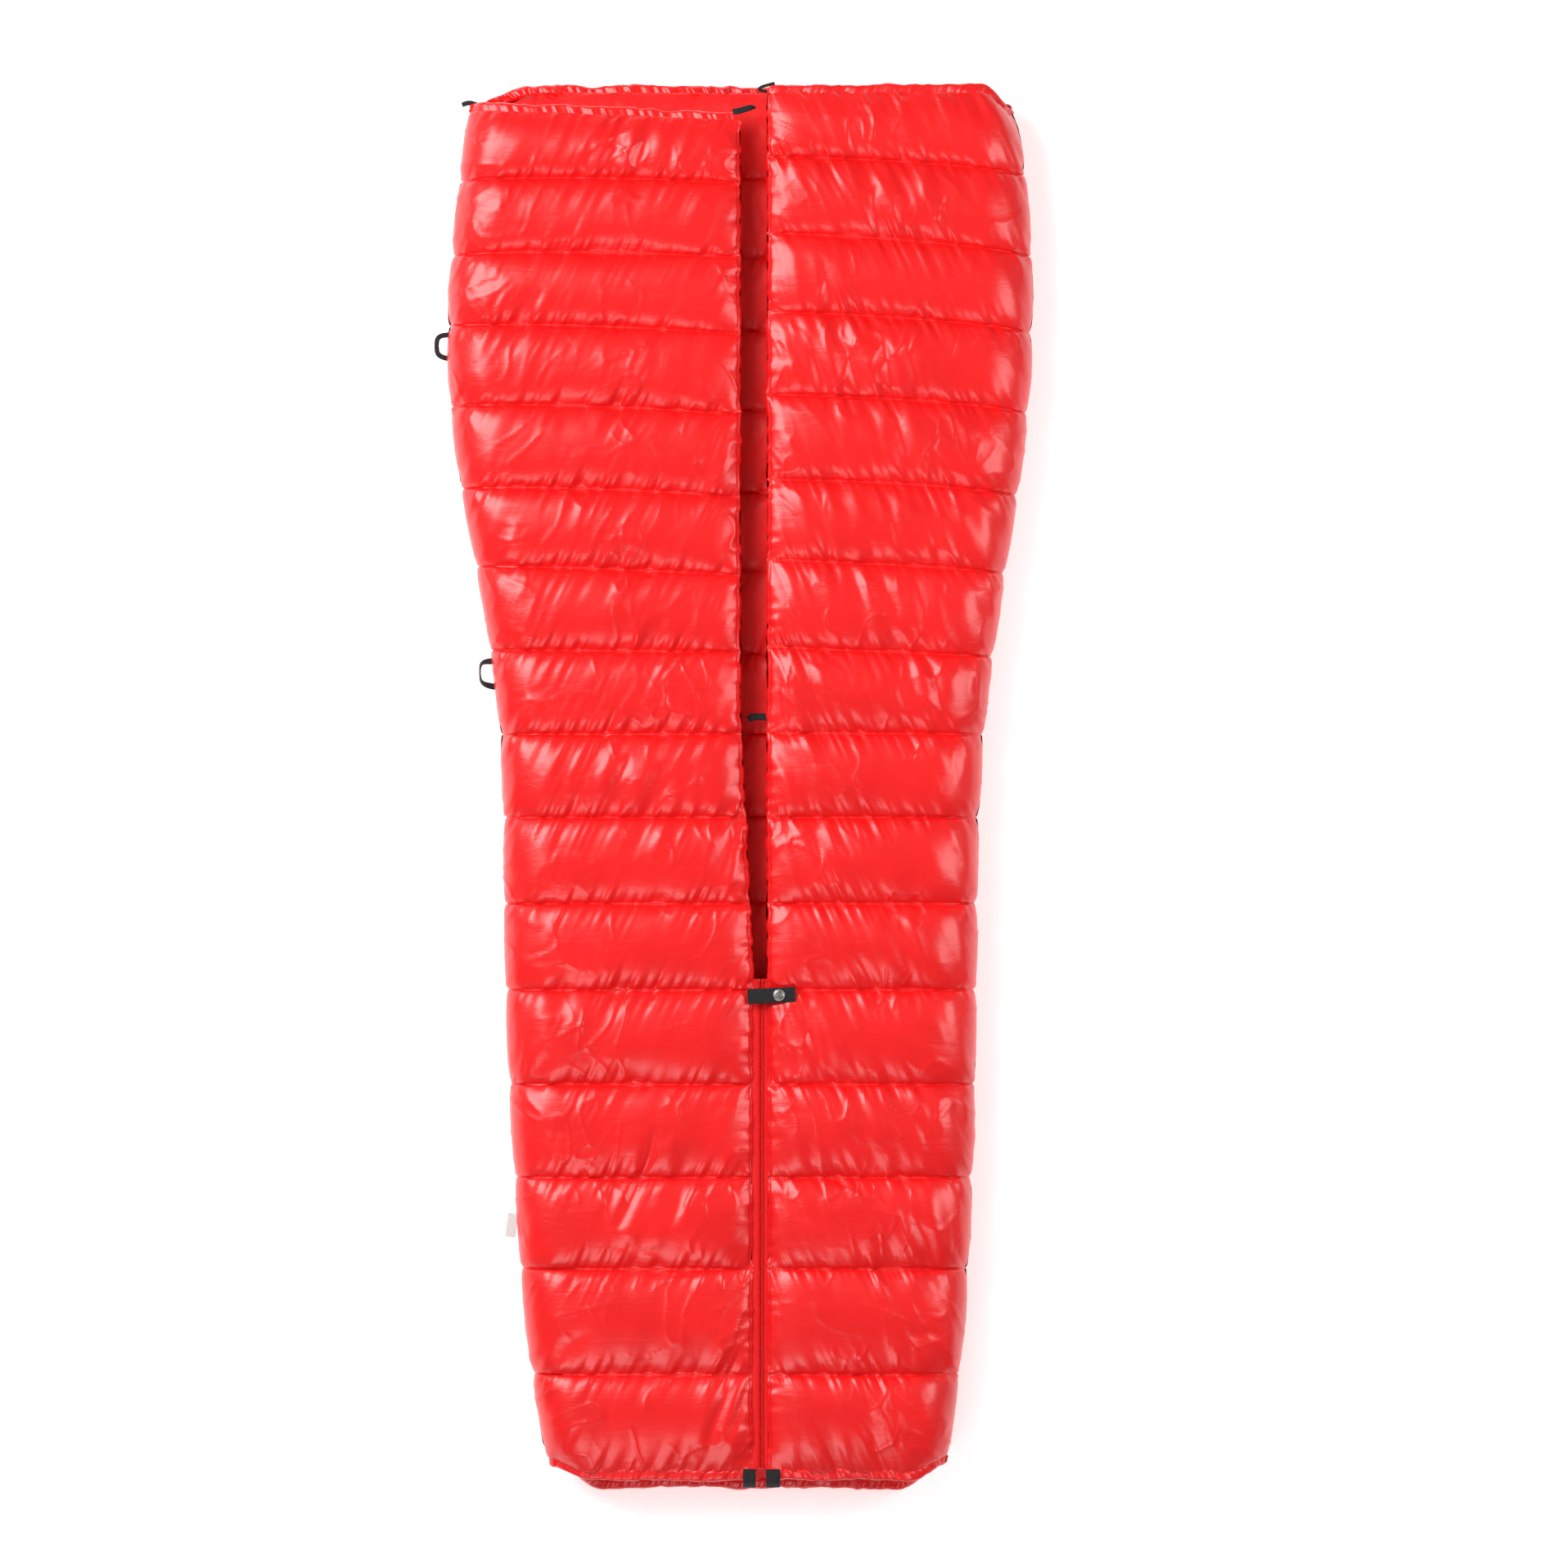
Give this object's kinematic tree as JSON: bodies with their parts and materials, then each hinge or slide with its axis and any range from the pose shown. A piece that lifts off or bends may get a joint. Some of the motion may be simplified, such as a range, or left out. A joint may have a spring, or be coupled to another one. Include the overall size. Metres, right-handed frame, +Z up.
{
  "type": "down camp quilt",
  "caption": "Down camp quilt folded into a tapered tube with rows of sewn baffles, two lapels, a foot zip, a snap strap and webbing loops.",
  "frame": {"origin": "on the ground under the centre of the object's bounding box", "axes": "+Y towards the head end, +X to the right seen from above, +Z up"},
  "size_m": [0.8066, 1.9, 0.108],
  "materials": {
    "shell": "glossy downproof nylon",
    "lining": "semi-gloss nylon lining",
    "down": "loose down",
    "baffle_mesh": "fine mesh",
    "webbing": "woven webbing",
    "snap_metal": "antique silver",
    "zip_tape": "woven tape",
    "zip_coil": "moulded coil",
    "zip_metal": "painted red",
    "elastic_cord": "braided",
    "tag_tape": "woven white tape"
  },
  "bodies": {
    "quilt_base": {"back_outer_shell": "shell", "side_outer_shells": "shell", "lower_left_outer_shell": "shell", "lower_right_outer_shell": "shell", "back_lining": "lining", "side_linings": "lining", "lower_left_lining": "lining", "lower_right_lining": "lining", "left_zip_facing": "shell", "right_zip_facing": "shell", "back_down_fill": "down", "lower_front_down_fill": "down", "back_baffle_walls": "baffle_mesh", "lower_front_baffle_walls": "baffle_mesh", "back_head_hem": "shell", "back_foot_hem": "shell", "front_foot_hem": "shell", "back_head_elastic": "elastic_cord", "foot_elastic": "elastic_cord", "zip_tape_left": "zip_tape", "zip_tape_right": "zip_tape", "zip_coil_left": "zip_coil", "zip_coil_right": "zip_coil", "zip_top_stops": "zip_coil", "zip_bottom_stop": "zip_coil", "zip_draft_flap": "lining", "snap_strap_anchor": "webbing", "snap_stud_patch": "webbing", "snap_stud": "snap_metal", "side_loop_upper": "webbing", "side_loop_lower": "webbing", "foot_tab_left": "webbing", "foot_tab_right": "webbing", "head_corner_tab": "webbing", "blank_side_tag": "tag_tape"},
    "left_lapel": {"left_lapel_outer_shell": "shell", "left_lapel_lining": "lining", "left_lapel_facing": "shell", "left_lapel_down_fill": "down", "left_lapel_baffle_walls": "baffle_mesh", "left_lapel_head_hem": "shell", "left_lapel_head_elastic": "elastic_cord", "left_corner_loop": "webbing"},
    "right_lapel": {"right_lapel_outer_shell": "shell", "right_lapel_lining": "lining", "right_lapel_facing": "shell", "right_lapel_down_fill": "down", "right_lapel_baffle_walls": "baffle_mesh", "right_lapel_head_hem": "shell", "right_lapel_head_elastic": "elastic_cord", "right_corner_loop": "webbing", "centre_edge_loop": "webbing"},
    "snap_strap": {"snap_strap": "webbing", "snap_cap": "snap_metal", "snap_socket": "snap_metal"},
    "zip_slider": {"zip_slider_body": "zip_metal"},
    "zip_pull": {"zip_pull": "zip_metal"}
  },
  "joints": [
    {"name": "left_lapel_fold", "type": "hinge", "parent": "quilt_base", "child": "left_lapel", "pos_m": [0.0262, -0.225, 0.1084], "axis": [0.3043, -0.9526, 0], "range_deg": [0, 150]},
    {"name": "right_lapel_fold", "type": "hinge", "parent": "quilt_base", "child": "right_lapel", "pos_m": [0.0465, -0.225, 0.1084], "axis": [0.2557, 0.9668, 0], "range_deg": [0, 150]},
    {"name": "snap_strap_lift", "type": "hinge", "parent": "quilt_base", "child": "snap_strap", "pos_m": [0.0303, -0.2805, 0.1046], "axis": [0, -1, 0], "range_deg": [0, 150]},
    {"name": "zip_slide", "type": "slide", "parent": "quilt_base", "child": "zip_slider", "axis": [0, -1, 0], "range_m": [0, 0.62]},
    {"name": "zip_pull_swing", "type": "hinge", "parent": "zip_slider", "child": "zip_pull", "pos_m": [0.038, -0.281, 0.0851], "axis": [1, 0, 0], "range_deg": [-80, 80]}
  ]
}
